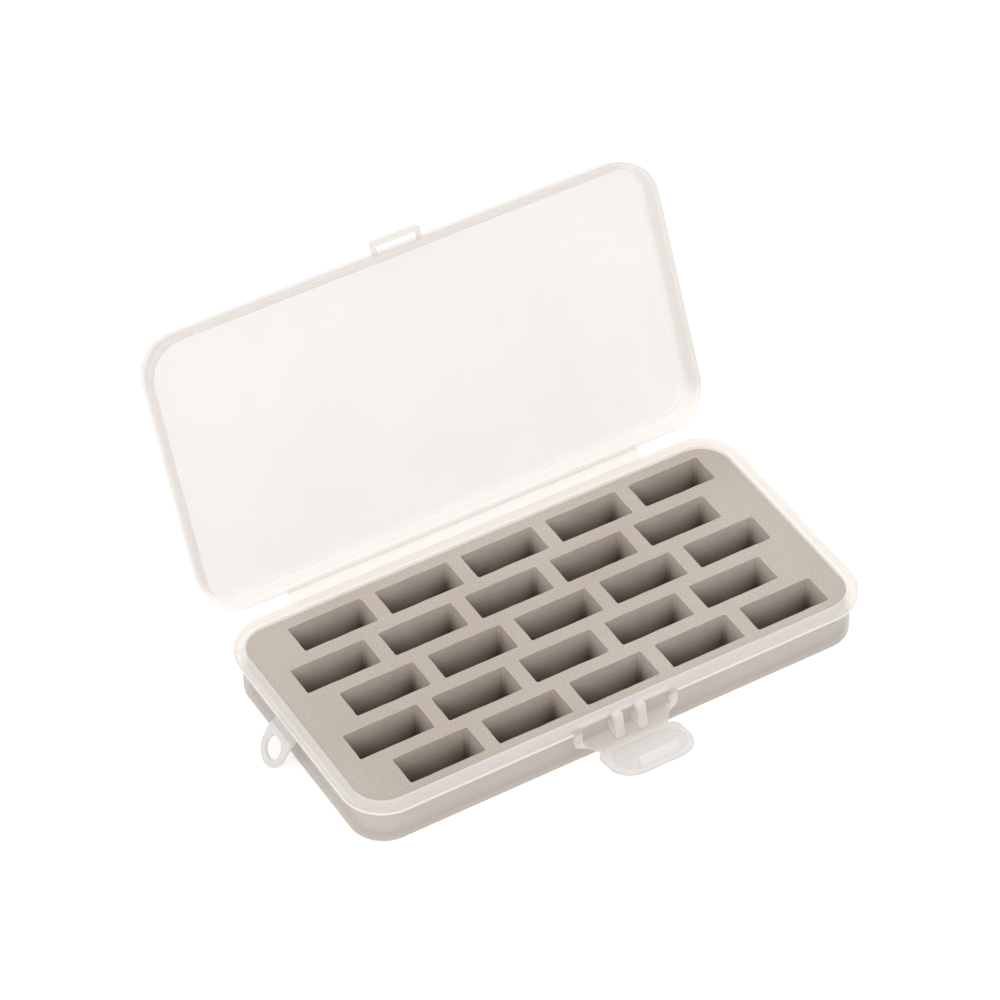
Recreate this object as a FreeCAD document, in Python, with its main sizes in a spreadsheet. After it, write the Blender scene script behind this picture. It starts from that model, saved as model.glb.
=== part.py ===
# Hinged bobbin box: a one-piece translucent moulding with living hinges, round a slotted foam insert.
# X runs along the box, Y towards the lid hinge, Z up. The origin is the middle of the underside.
import FreeCAD, Part
import Sketcher
import math
import os

SIZES = {
    # tray
    "tray_length": 153.0,
    "tray_depth": 77.6,
    "tray_height": 14.2,
    "corner_radius": 11.8,
    "wall_thickness": 1.3,
    "floor_thickness": 1.0,
    "foot_radius": 0.7,
    "rim_width": 3.2,
    "rim_height": 2.3,
    "rim_edge_radius": 0.4,
    # foam insert and the sheet it is glued to
    "sheet_thickness": 0.8,
    "foam_drop": 1.2,
    "foam_clearance": 0.2,
    "end_border": 6.8,
    "side_border": 3.2,
    "slot_web": 4.2,
    "row_web": 4.1,
    "row_stagger": 6.8,
    # lid
    "lid_height": 9.4,
    "lid_panel": 1.2,
    "lid_wall": 0.9,
    "lid_overhang": 0.8,
    "lid_rim_height": 2.6,
    "lid_edge_radius": 3.2,
    "parting_gap": 0.2,
    "lid_open_angle": 114.0,
    # strip between the two creases of the lid hinge
    "strip_length": 107.4,
    "strip_thickness": 0.6,
    "strip_inset": 2.0,
    "crease_gap": 0.2,
    # catch frame on the front wall
    "frame_width": 31.0,
    "frame_bar": 2.3,
    "frame_radius": 2.6,
    "rim_lip": 0.9,
    "ledge_height": 7.6,
    "ledge_thickness": 1.4,
    "prong_spacing": 6.8,
    "prong_width": 2.8,
    "prong_reach": 2.0,
    "prong_foot": 3.6,
    "prong_rise": 0.8,
    "prong_radius": 0.8,
    # keeper loop on the front edge of the lid
    "keeper_width": 14.4,
    "keeper_leg": 1.0,
    "keeper_bar": 1.4,
    "keeper_reach": 3.8,
    "keeper_thickness": 2.0,
    "keeper_rise": 0.9,
    "keeper_radius": 0.9,
    # latch flap
    "flap_width": 24.0,
    "flap_length": 13.4,
    "flap_thickness": 1.2,
    "flap_tip_radius": 6.6,
    "flap_root_radius": 2.2,
    "flap_edge_radius": 0.35,
    "flap_tilt": 11.0,
    "flap_border": 1.5,
    "flap_recess": 0.3,
    "hook_thickness": 1.3,
    "hook_height": 2.5,
    "latch_clearance": 0.4,
    # hang tab
    "tab_width": 10.4,
    "tab_hole": 6.3,
    "tab_length": 4.2,
    "tab_thickness": 0.8,
    "tab_offset": 1.9,
    "tab_reach": 1.0,
    "tab_drop": 1.5,
    "tab_lean": 31.0,
}
SLOT_COLUMNS = 5
SLOT_ROWS = 5


class Size:
    """A number together with the expression that ties it to the sheet."""

    def __init__(self, number, text):
        self.number = number
        self.text = text

    def __add__(self, other):
        other = as_size(other)
        return Size(self.number + other.number, f"({self.text} + {other.text})")

    def __sub__(self, other):
        other = as_size(other)
        return Size(self.number - other.number, f"({self.text} - {other.text})")

    def __mul__(self, other):
        other = as_size(other)
        return Size(self.number * other.number, f"({self.text} * {other.text})")

    def __truediv__(self, divisor):
        return Size(self.number / divisor, f"({self.text} / {divisor})")

    def __neg__(self):
        return Size(-self.number, f"(-1 * {self.text})")


def as_size(value):
    return value if isinstance(value, Size) else Size(float(value), str(float(value)))


def cosine(angle):
    return Size(math.cos(math.radians(angle.number)), f"cos({angle.text} * 1 deg)")


def sine(angle):
    return Size(math.sin(math.radians(angle.number)), f"sin({angle.text} * 1 deg)")


ZERO = as_size(0)

doc = FreeCAD.newDocument("BobbinBox")
sheet = doc.addObject("Spreadsheet::Sheet", "Sizes")
for row, (alias, number) in enumerate(SIZES.items(), start=1):
    sheet.set(f"A{row}", alias)
    sheet.set(f"B{row}", str(number))
    sheet.setAlias(f"B{row}", alias)
doc.recompute()


def size(alias):
    return Size(float(sheet.get(alias)), f"Sizes.{alias}")


# Sketches and features

def new_body(label):
    body = doc.addObject("PartDesign::Body", label)
    body.Label = label
    return body


def sketch_on(body, plane, name, x=ZERO, y=ZERO, z=ZERO):
    """A sketch on one of the body's own planes, shifted in the plane and along its normal."""
    sketch = body.newObject("Sketcher::SketchObject", name)
    support = [feature for feature in body.Origin.OriginFeatures if feature.Role == plane][0]
    sketch.AttachmentSupport = [(support, "")]
    sketch.MapMode = "FlatFace"
    for axis, offset in (("x", x), ("y", y), ("z", z)):
        sketch.setExpression(f"AttachmentOffset.Base.{axis}", offset.text)
    return sketch


def hold(sketch, kind, places, value):
    index = sketch.addConstraint(Sketcher.Constraint(kind, *places, value.number))
    sketch.renameConstraint(index, f"size_{index}")
    sketch.setExpression(f"Constraints.size_{index}", value.text)


def fix_point(sketch, geometry, position, x, y):
    """Tie one point to the sketch origin; the signs stay those of the first numbers."""
    for kind, aligned, value in (("DistanceX", "Vertical", x), ("DistanceY", "Horizontal", y)):
        if abs(value.number) < 1e-9:
            sketch.addConstraint(Sketcher.Constraint(aligned, -1, 1, geometry, position))
        elif value.number > 0:
            hold(sketch, kind, (-1, 1, geometry, position), value)
        else:
            hold(sketch, kind, (geometry, position, -1, 1), -value)


def polygon(sketch, points):
    """A closed outline of straight lines through the given points."""
    vectors = [FreeCAD.Vector(x.number, y.number, 0) for x, y in points]
    count = len(points)
    first = None
    for start in range(count):
        end = vectors[(start + 1) % count]
        line = sketch.addGeometry(Part.LineSegment(vectors[start], end), False)
        first = line if first is None else first
    for step in range(count):
        following = first + (step + 1) % count
        sketch.addConstraint(Sketcher.Constraint("Coincident", first + step, 2, following, 1))
    for step, (x, y) in enumerate(points):
        fix_point(sketch, first + step, 1, x, y)


def rectangle(sketch, length, depth):
    """A rectangle centred on the sketch origin."""
    a, b = length / 2, depth / 2
    polygon(sketch, [(-a, -b), (a, -b), (a, b), (-a, b)])


def rounded_rectangle(sketch, length, depth, radius):
    """A rectangle with four equal round corners, centred on the sketch origin."""
    a, b, r = length.number / 2, depth.number / 2, radius.number
    ends = [
        ((-a + r, -b), (a - r, -b)),
        ((a, -b + r), (a, b - r)),
        ((a - r, b), (-a + r, b)),
        ((-a, b - r), (-a, -b + r)),
    ]
    for start, end in ends:
        sketch.addGeometry(Part.LineSegment(FreeCAD.Vector(*start, 0), FreeCAD.Vector(*end, 0)), False)
    centres = [(a - r, -b + r), (a - r, b - r), (-a + r, b - r), (-a + r, -b + r)]
    for turn, centre in enumerate(centres):
        circle = Part.Circle(FreeCAD.Vector(*centre, 0), FreeCAD.Vector(0, 0, 1), r)
        begin = math.radians(90 * turn - 90)
        sketch.addGeometry(Part.ArcOfCircle(circle, begin, begin + math.pi / 2), False)
    for side in range(4):
        sketch.addConstraint(Sketcher.Constraint("Tangent", side, 2, 4 + side, 1))
        sketch.addConstraint(Sketcher.Constraint("Tangent", 4 + side, 2, (side + 1) % 4, 1))
    for side, direction in enumerate(("Horizontal", "Vertical", "Horizontal", "Vertical")):
        sketch.addConstraint(Sketcher.Constraint(direction, side))
    for corner in range(5, 8):
        sketch.addConstraint(Sketcher.Constraint("Equal", 4, corner))
    hold(sketch, "Radius", (4,), radius)
    hold(sketch, "DistanceX", (-1, 1, 1, 1), length / 2)
    hold(sketch, "DistanceX", (3, 1, -1, 1), length / 2)
    hold(sketch, "DistanceY", (-1, 1, 2, 1), depth / 2)
    hold(sketch, "DistanceY", (0, 1, -1, 1), depth / 2)


def circle(sketch, radius):
    """A circle round the sketch origin."""
    ring = Part.Circle(FreeCAD.Vector(0, 0, 0), FreeCAD.Vector(0, 0, 1), radius.number)
    index = sketch.addGeometry(ring, False)
    sketch.addConstraint(Sketcher.Constraint("Coincident", index, 3, -1, 1))
    hold(sketch, "Radius", (index,), radius)


def tongue(sketch, width, length):
    """A straight tongue that rises from a half round about the sketch origin."""
    half = width / 2
    corners = [(-half, ZERO), (-half, length), (half, length), (half, ZERO)]
    vectors = [FreeCAD.Vector(x.number, y.number, 0) for x, y in corners]
    for line in range(3):
        sketch.addGeometry(Part.LineSegment(vectors[line], vectors[line + 1]), False)
    ring = Part.Circle(FreeCAD.Vector(0, 0, 0), FreeCAD.Vector(0, 0, 1), half.number)
    sketch.addGeometry(Part.ArcOfCircle(ring, math.pi, 2 * math.pi), False)
    for first, first_end, second, second_end in ((0, 2, 1, 1), (1, 2, 2, 1), (2, 2, 3, 2), (0, 1, 3, 1)):
        sketch.addConstraint(Sketcher.Constraint("Coincident", first, first_end, second, second_end))
    sketch.addConstraint(Sketcher.Constraint("Horizontal", -1, 1, 3, 3))
    fix_point(sketch, 0, 1, *corners[0])
    for line in range(3):
        fix_point(sketch, line, 2, *corners[line + 1])


def pad(body, sketch, length, backwards=False, both_ways=False):
    feature = body.newObject("PartDesign::Pad", f"{sketch.Name}_pad")
    feature.Profile = sketch
    feature.setExpression("Length", length.text)
    feature.Reversed = backwards
    feature.Midplane = both_ways
    doc.recompute()
    return feature


def pocket(body, sketch, depth, backwards=False, both_ways=False):
    before = body.Shape.Volume
    feature = body.newObject("PartDesign::Pocket", f"{sketch.Name}_pocket")
    feature.Profile = sketch
    feature.setExpression("Length", depth.text)
    feature.Reversed = backwards
    feature.Midplane = both_ways
    doc.recompute()
    if body.Shape.Volume > before - 1e-6:
        raise RuntimeError(f"{feature.Name} cuts nothing")
    return feature


def fillet(body, name, wanted, radius):
    """Round the edges of the body's last feature that the test picks."""
    doc.recompute()
    base = body.Tip
    edges = [f"Edge{i}" for i, edge in enumerate(base.Shape.Edges, start=1) if wanted(edge)]
    feature = body.newObject("PartDesign::Fillet", name)
    feature.Base = (base, edges)
    feature.setExpression("Radius", radius.text)
    doc.recompute()
    return feature


def flat_at(height):
    """A test for edges that lie in one level plane."""
    return lambda edge: edge.BoundBox.ZLength < 1e-4 and abs(edge.BoundBox.ZMin - height.number) < 1e-4


def flat_within(height, x, y):
    """A test for edges in one level plane that stay inside a rectangle about the middle."""
    def test(edge):
        box = edge.BoundBox
        reach_x, reach_y = max(-box.XMin, box.XMax), max(-box.YMin, box.YMax)
        return flat_at(height)(edge) and reach_x < x.number + 1e-3 and reach_y < y.number + 1e-3
    return test


def flat_beyond(height, x, y):
    """A test for edges in one level plane that reach a side of a rectangle about the middle."""
    def test(edge):
        box = edge.BoundBox
        reach_x, reach_y = max(-box.XMin, box.XMax), max(-box.YMin, box.YMax)
        return flat_at(height)(edge) and (reach_x > x.number - 1e-3 or reach_y > y.number - 1e-3)
    return test


def upright_at(x, y):
    """A test for the upright edges at one place in plan, on either side of the box's middle."""
    def test(edge):
        box = edge.BoundBox
        upright = box.ZLength > 1e-3 and box.XLength < 1e-4 and box.YLength < 1e-4
        return upright and abs(abs(box.XMin) - x.number) < 1e-3 and abs(box.YMin - y.number) < 1e-3
    return test


def fold(body, across, crease, angle, new_crease=None):
    """Turn a body about a crease, given as two places across it, and carry the crease to a new place."""
    a, b = crease
    new_a, new_b = new_crease or crease
    axis = {"y": FreeCAD.Vector(-1, 0, 0), "x": FreeCAD.Vector(0, 1, 0)}[across]
    body.Placement = FreeCAD.Placement(FreeCAD.Vector(0, 0, 0), FreeCAD.Rotation(axis, angle.number))
    body.setExpression("Placement.Rotation.Angle", f"{angle.text} * 1 deg")
    body.setExpression(f"Placement.Base.{across}", (new_a - a * cosine(angle) - b * sine(angle)).text)
    body.setExpression("Placement.Base.z", (new_b + a * sine(angle) - b * cosine(angle)).text)


# Places worked out from the sizes

tray_length, tray_depth, tray_height = size("tray_length"), size("tray_depth"), size("tray_height")
corner_radius = size("corner_radius")
wall_thickness = size("wall_thickness")
rim_width = size("rim_width")
rim_overhang = rim_width - wall_thickness
rim_bottom = tray_height - size("rim_height")
front, side = -(tray_depth / 2), tray_length / 2

parting = tray_height + size("parting_gap")
lid_top = parting + size("lid_height")
keeper_bottom = parting + size("keeper_rise")
keeper_top = keeper_bottom + size("keeper_thickness")
keeper_front = front - size("keeper_reach")

strip_half = size("strip_thickness") / 2
hinge_y = tray_depth / 2 + size("crease_gap") + strip_half
base_crease_z = tray_height - size("strip_inset")
lid_crease_z = parting + size("strip_inset")

flap_half = size("flap_thickness") / 2
flap_crease_y = keeper_front - size("latch_clearance") - flap_half
flap_crease_z = size("ledge_height") - flap_half
hook_start = keeper_top + size("latch_clearance") - flap_crease_z

tab_half = size("tab_thickness") / 2
tab_crease_x = -(side + size("tab_reach") + size("crease_gap") + tab_half)
tab_crease_z = rim_bottom - size("tab_drop")


# Base tray: floor, walls and rim, with the catch frame in front and the web of the hang tab

def make_base_tray():
    body = new_body("base_tray")
    outline = sketch_on(body, "XY_Plane", "tray_outline")
    rounded_rectangle(outline, tray_length - rim_overhang * 2, tray_depth - rim_overhang * 2,
                      corner_radius - rim_overhang)
    pad(body, outline, tray_height)
    fillet(body, "foot_round", flat_at(ZERO), size("foot_radius"))

    rim = sketch_on(body, "XY_Plane", "rim_outline", z=rim_bottom)
    rounded_rectangle(rim, tray_length, tray_depth, corner_radius)
    pad(body, rim, size("rim_height"))

    def rim_edge(edge):
        return flat_at(tray_height)(edge) or flat_beyond(rim_bottom, side, tray_depth / 2)(edge)
    fillet(body, "rim_round", rim_edge, size("rim_edge_radius"))

    mouth = sketch_on(body, "XY_Plane", "mouth", z=tray_height)
    rounded_rectangle(mouth, tray_length - rim_width * 2, tray_depth - rim_width * 2,
                      corner_radius - rim_width)
    pocket(body, mouth, tray_height - size("floor_thickness"))
    fillet(body, "mouth_round", flat_within(tray_height, side - rim_width, tray_depth / 2 - rim_width),
           size("rim_edge_radius"))

    add_catch_frame(body)
    add_tab_web(body)
    return body


def add_catch_frame(body):
    frame_width, frame_bar = size("frame_width"), size("frame_bar")
    ledge_height, ledge_thickness = size("ledge_height"), size("ledge_thickness")
    opening = frame_width - frame_bar * 2
    wall_front = front + rim_overhang

    # the rim is cut to a thin lip between the two upright bars
    lip_bottom = tray_height - size("rim_lip")
    notch = sketch_on(body, "XY_Plane", "rim_notch", y=front + rim_overhang / 2, z=lip_bottom)
    rectangle(notch, opening, rim_overhang)
    pocket(body, notch, size("rim_height") - size("rim_lip"))

    # U-shaped frame, flush with the rim, whose foot carries the ledge
    frame_foot = ledge_height - ledge_thickness
    half, inner = frame_width / 2, opening / 2
    frame = sketch_on(body, "XZ_Plane", "catch_frame", z=-front)
    bar_top = rim_bottom + size("rim_edge_radius")
    polygon(frame, [(-half, frame_foot), (half, frame_foot), (half, bar_top), (inner, bar_top),
                    (inner, ledge_height), (-inner, ledge_height), (-inner, bar_top), (-half, bar_top)])
    pad(body, frame, rim_overhang + wall_thickness / 2, backwards=True)

    def frame_corner(edge):
        box = edge.BoundBox
        along_y = box.YLength > 1e-3 and box.XLength < 1e-4 and box.ZLength < 1e-4
        return (along_y and abs(box.ZMin - frame_foot.number) < 1e-3
                and abs(abs(box.XMin) - half.number) < 1e-3)
    fillet(body, "frame_round", frame_corner, size("frame_radius"))

    # ledge, narrowing to the flap's crease
    ledge_tip = flap_crease_y + flap_half + size("crease_gap")
    crease_half = size("flap_width") / 2 - size("flap_root_radius")
    ledge = sketch_on(body, "XY_Plane", "ledge", z=frame_foot)
    polygon(ledge, [(-inner, wall_front), (-inner, front), (-crease_half, ledge_tip),
                    (crease_half, ledge_tip), (inner, front), (inner, wall_front)])
    pad(body, ledge, ledge_thickness)

    # two leaning prongs that guide the keeper loop, stepped back under the lid's rim
    prong_front, prong_foot = front - size("prong_reach"), front - size("prong_foot")
    prong_root = ledge_height - ledge_thickness / 2
    prong_step = front - size("latch_clearance")
    prong_top = tray_height + size("prong_rise")
    for name, direction in (("left", -1), ("right", 1)):
        middle = size("prong_spacing") / 2 * direction
        prong = sketch_on(body, "YZ_Plane", f"prong_{name}", z=middle)
        polygon(prong, [(wall_front + wall_thickness / 2, prong_root), (prong_foot, prong_root),
                        (prong_front, prong_top), (prong_step, prong_top), (prong_step, lip_bottom),
                        (wall_front + wall_thickness / 2, lip_bottom)])
        pad(body, prong, size("prong_width"), both_ways=True)

    def prong_edge(edge):
        box = edge.BoundBox
        in_front = box.YMax < prong_front.number + 1e-3 and box.ZMax > ledge_height.number + 1e-3
        return in_front or (flat_at(prong_top)(edge) and box.YLength > 1e-3)
    fillet(body, "prong_round", prong_edge, size("prong_radius"))


def add_tab_web(body):
    web = sketch_on(body, "XZ_Plane", "tab_web", z=-size("tab_offset"))
    web_end = -(side + size("tab_reach"))
    polygon(web, [(-side, rim_bottom + tab_half), (web_end, tab_crease_z + tab_half),
                  (web_end, tab_crease_z - tab_half), (-side + rim_overhang / 2, rim_bottom)])
    pad(body, web, size("tab_width"), both_ways=True)


# Foam: a die-cut block with five staggered rows of slots, on a plain backing sheet

foam_length = tray_length - rim_width * 2 - size("foam_clearance") * 2
foam_depth = tray_depth - rim_width * 2 - size("foam_clearance") * 2
foam_radius = corner_radius - rim_width - size("foam_clearance")
sheet_top = size("floor_thickness") + size("sheet_thickness")
foam_top = tray_height - size("foam_drop")


def make_foam_base_sheet():
    body = new_body("foam_base_sheet")
    outline = sketch_on(body, "XY_Plane", "sheet_outline", z=size("floor_thickness"))
    rounded_rectangle(outline, foam_length, foam_depth, foam_radius)
    pad(body, outline, size("sheet_thickness"))
    return body


def make_foam_insert():
    body = new_body("foam_insert")
    outline = sketch_on(body, "XY_Plane", "foam_outline", z=sheet_top)
    rounded_rectangle(outline, foam_length, foam_depth, foam_radius)
    pad(body, outline, foam_top - sheet_top)
    # the slots share out what the borders, the stagger and the webs leave of the foam
    field_length = foam_length - size("end_border") * 2 - size("row_stagger")
    field_depth = foam_depth - size("side_border") * 2
    slot_length = (field_length - size("slot_web") * (SLOT_COLUMNS - 1)) / SLOT_COLUMNS
    slot_width = (field_depth - size("row_web") * (SLOT_ROWS - 1)) / SLOT_ROWS
    slot_pitch = slot_length + size("slot_web")
    row_pitch = slot_width + size("row_web")
    for row in range(SLOT_ROWS):
        stagger = size("row_stagger") / 2 * (-1 if row % 2 else 1)
        first_x = stagger - slot_pitch * ((SLOT_COLUMNS - 1) / 2)
        row_y = row_pitch * ((SLOT_ROWS - 1) / 2 - row)
        slot = sketch_on(body, "XY_Plane", f"slot_row_{row + 1}", x=first_x, y=row_y, z=foam_top)
        rectangle(slot, slot_length, slot_width)
        first = pocket(body, slot, foam_top - sheet_top)
        pattern = body.newObject("PartDesign::LinearPattern", f"slots_{row + 1}")
        pattern.Originals = [first]
        pattern.Direction = (slot, ["H_Axis"])
        pattern.Mode = "Spacing"
        pattern.setExpression("Offset", slot_pitch.text)
        pattern.Occurrences = SLOT_COLUMNS
        body.Tip = pattern
        doc.recompute()
    return body


# Lid hinge strip: a flat web with a full round along each crease

def make_hinge_strip():
    body = new_body("hinge_strip")
    plate = sketch_on(body, "XZ_Plane", "strip_plate", y=(base_crease_z + lid_crease_z) / 2, z=-hinge_y)
    rectangle(plate, size("strip_length"), lid_crease_z - base_crease_z)
    pad(body, plate, size("strip_thickness"), both_ways=True)
    for name, height in (("base", base_crease_z), ("lid", lid_crease_z)):
        bead = sketch_on(body, "YZ_Plane", f"{name}_crease", x=hinge_y, y=height)
        circle(bead, strip_half)
        pad(body, bead, size("strip_length"), both_ways=True)
    return body


# Lid: a shallow dome inside a rim that matches the tray's, with the keeper loop in front

def make_lid():
    body = new_body("lid")
    lid_wall, lid_overhang, lid_panel = size("lid_wall"), size("lid_overhang"), size("lid_panel")
    edge_radius = size("rim_edge_radius")
    rim_top = parting + size("lid_rim_height")
    rim = sketch_on(body, "XY_Plane", "lid_rim", z=parting)
    rounded_rectangle(rim, tray_length, tray_depth, corner_radius)
    pad(body, rim, size("lid_rim_height"))

    def rim_edge(edge):
        return flat_at(parting)(edge) or flat_at(rim_top)(edge)
    fillet(body, "lid_rim_round", rim_edge, edge_radius)

    dome = sketch_on(body, "XY_Plane", "dome_outline", z=parting)
    rounded_rectangle(dome, tray_length - lid_overhang * 2, tray_depth - lid_overhang * 2,
                      corner_radius - lid_overhang)
    pad(body, dome, size("lid_height"))
    fillet(body, "dome_round", flat_at(lid_top), size("lid_edge_radius"))

    inset = lid_overhang + lid_wall
    hollow_depth = size("lid_height") - lid_panel
    hollow = sketch_on(body, "XY_Plane", "lid_hollow", z=parting)
    rounded_rectangle(hollow, tray_length - inset * 2, tray_depth - inset * 2, corner_radius - inset)
    pocket(body, hollow, hollow_depth, backwards=True)
    fillet(body, "hollow_round", flat_at(parting + hollow_depth), size("lid_edge_radius") - lid_wall)
    fillet(body, "lid_mouth_round", flat_within(parting, side - inset, tray_depth / 2 - inset), edge_radius)

    add_keeper(body)
    return body


def add_keeper(body):
    keeper_width, keeper_leg = size("keeper_width"), size("keeper_leg")
    half, window = keeper_width / 2, keeper_width / 2 - keeper_leg
    root = front + size("lid_overhang") / 2
    bar_back = keeper_front + size("keeper_bar")
    loop = sketch_on(body, "XY_Plane", "keeper_loop", z=keeper_bottom)
    polygon(loop, [(-half, root), (-half, keeper_front), (half, keeper_front), (half, root),
                   (window, root), (window, bar_back), (-window, bar_back), (-window, root)])
    pad(body, loop, size("keeper_thickness"))
    fillet(body, "keeper_round", upright_at(half, keeper_front), size("keeper_radius"))


# Latch flap: a rounded tongue with a hook rib, lying open in front of its crease

def make_latch_flap():
    body = new_body("latch_flap")
    flap_width, flap_length = size("flap_width"), size("flap_length")
    tip = flap_crease_y - flap_length
    flap_middle = flap_crease_y - flap_length / 2
    plate = sketch_on(body, "XY_Plane", "flap_plate", y=flap_middle, z=flap_crease_z - flap_half)
    rectangle(plate, flap_width, flap_length)
    pad(body, plate, size("flap_thickness"))
    fillet(body, "flap_tip_round", upright_at(flap_width / 2, tip), size("flap_tip_radius"))
    fillet(body, "flap_root_round", upright_at(flap_width / 2, flap_crease_y), size("flap_root_radius"))

    def tongue_edge(edge):
        level = flat_at(flap_crease_z + flap_half)(edge) or flat_at(flap_crease_z - flap_half)(edge)
        return level and edge.BoundBox.YMin < flap_crease_y.number - 1e-3
    fillet(body, "flap_edge_round", tongue_edge, size("flap_edge_radius"))

    bead = sketch_on(body, "YZ_Plane", "flap_crease", x=flap_crease_y, y=flap_crease_z)
    circle(bead, flap_half)
    pad(body, bead, flap_width - size("flap_root_radius") * 2, both_ways=True)

    border = size("flap_border")
    recess = sketch_on(body, "XY_Plane", "flap_recess", y=flap_middle, z=flap_crease_z + flap_half)
    rounded_rectangle(recess, flap_width - border * 2, flap_length - border * 2,
                      size("flap_tip_radius") - border)
    pocket(body, recess, size("flap_recess"))

    hook_length = size("keeper_width") - size("keeper_leg") * 2 - size("latch_clearance") * 2
    hook_thickness, hook_height = size("hook_thickness"), size("hook_height")
    hook_near = flap_crease_y - hook_start
    hook_foot = flap_crease_z
    hook_top = flap_crease_z + flap_half + hook_height
    hook = sketch_on(body, "YZ_Plane", "hook_rib")
    polygon(hook, [(hook_near, hook_foot), (hook_near, hook_top),
                   (hook_near - hook_thickness / 2, hook_top), (hook_near - hook_thickness, hook_foot)])
    pad(body, hook, hook_length, both_ways=True)
    fold(body, "y", (flap_crease_y, flap_crease_z), size("flap_tilt"))
    return body


# Hang tab: a round-ended tongue with a peg hole, hinged below the rim at the left end

def make_hang_tab():
    body = new_body("hang_tab")
    tab_width, tab_length = size("tab_width"), size("tab_length")
    middle = size("tab_offset")
    hole_z = tab_crease_z - tab_length
    plate = sketch_on(body, "YZ_Plane", "tab_plate", x=middle, y=hole_z, z=tab_crease_x)
    tongue(plate, tab_width, tab_length)
    pad(body, plate, size("tab_thickness"), both_ways=True)
    bead = sketch_on(body, "XZ_Plane", "tab_crease", x=tab_crease_x, y=tab_crease_z, z=-middle)
    circle(bead, tab_half)
    pad(body, bead, tab_width, both_ways=True)
    hole = sketch_on(body, "YZ_Plane", "peg_hole", x=middle, y=hole_z, z=tab_crease_x)
    circle(hole, size("tab_hole") / 2)
    pocket(body, hole, size("tab_thickness") * 2, both_ways=True)
    fold(body, "x", (tab_crease_x, tab_crease_z), size("tab_lean"))
    return body


base_tray = make_base_tray()
foam_base_sheet = make_foam_base_sheet()
foam_insert = make_foam_insert()
hinge_strip = make_hinge_strip()
lid = make_lid()
latch_flap = make_latch_flap()
hang_tab = make_hang_tab()

# The lid is drawn shut; each of its two creases takes half of the opening turn.
half_turn = size("lid_open_angle") / 2
strip_height = lid_crease_z - base_crease_z
raised_crease = (hinge_y + strip_height * sine(half_turn), base_crease_z + strip_height * cosine(half_turn))
fold(hinge_strip, "y", (hinge_y, base_crease_z), half_turn)
fold(lid, "y", (hinge_y, lid_crease_z), size("lid_open_angle"), raised_crease)

doc.recompute()
for item in doc.Objects:
    if "Invalid" in item.State or "Error" in item.State:
        raise RuntimeError(f"{item.Label} failed: {item.State}")

os.makedirs("parts", exist_ok=True)
for body in (base_tray, foam_base_sheet, foam_insert, hinge_strip, lid, latch_flap, hang_tab):
    shape = body.Shape
    if shape.isNull() or not shape.isValid() or len(shape.Solids) != 1:
        raise RuntimeError(f"{body.Label} is not one valid solid")
    shape.exportStep(f"parts/{body.Label}.step")
    box = shape.BoundBox
    print(f"{body.Label}: {shape.Volume:.1f} mm3, "
          f"x {box.XMin:.2f} to {box.XMax:.2f}, y {box.YMin:.2f} to {box.YMax:.2f}, "
          f"z {box.ZMin:.2f} to {box.ZMax:.2f}")
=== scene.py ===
# Looks of the bobbin box: translucent moulding, slotted foam insert, living hinges, floor, light and camera.
import math

import bmesh
import bpy
from mathutils import Matrix, Vector


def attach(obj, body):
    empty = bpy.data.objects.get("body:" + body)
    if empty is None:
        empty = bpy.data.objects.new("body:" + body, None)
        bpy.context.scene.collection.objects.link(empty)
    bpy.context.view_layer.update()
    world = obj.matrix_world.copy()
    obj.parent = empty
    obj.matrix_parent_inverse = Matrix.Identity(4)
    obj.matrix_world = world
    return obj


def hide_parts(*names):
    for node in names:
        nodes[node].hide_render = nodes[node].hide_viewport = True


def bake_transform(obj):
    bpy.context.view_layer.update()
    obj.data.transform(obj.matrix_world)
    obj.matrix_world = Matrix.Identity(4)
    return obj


MM = 0.001

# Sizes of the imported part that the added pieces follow, in millimetres
FOAM_LENGTH, FOAM_DEPTH, FOAM_RADIUS = 146.2, 70.8, 8.4
FOAM_TOP, SHEET_TOP, FLOOR_TOP = 13.0, 1.8, 1.0
SLOT_LENGTH, SLOT_WIDTH, SLOT_PITCH = 21.8, 9.6, 26.0
ROW_PITCH, ROW_STAGGER = 13.7, 6.8
SLOT_COLUMNS = 5
TRAY_LENGTH, TRAY_DEPTH, TRAY_RADIUS = 153.0, 77.6, 11.8
RIM_BOTTOM, RIM_ROUND = 11.9, 0.4
FRAME_HALF, FRAME_INSIDE, PRONGS_HALF = 15.6, 12.2, 6.0
CATCH_FRONT, LEDGE_TOP, LID_REACH = 37.1, 7.7, 78.0
BASE_CREASE = (39.3, 12.2)
STRIP_LEAN, LID_LEAN = math.radians(57), math.radians(114)
STRIP_HEIGHT, STRIP_LENGTH = 4.2, 107.4
FLAP_CREASE, FLAP_SPAN, FLAP_TILT = (-43.6, 7.0), 19.6, math.radians(11)
TAB_CREASE, TAB_SPAN, TAB_MIDDLE, TAB_LEAN = (-78.1, 10.4), 10.4, 1.9, math.radians(31)

# Sizes of what the scene adds, in millimetres
DIE_ROUND, SHEET_INSET, MERGE_REACH = 0.22, 3.0, 0.002
SLOT_FIELD, SHEET_FIELD = (70.0, 33.5), (70.5, 33.5)
# painted shade: a slot's corners count as deeper by this share, fading out over this distance, so they are painted
# darker
CORNER_EXTRA, CORNER_SHADE = 0.5, 2.5
# the bead carries a painted highlight along the rim's lower edge
BEAD_PROUD, BEAD_HEIGHT, BEAD_SLOPE = 0.06, 0.5, 0.05
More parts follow.
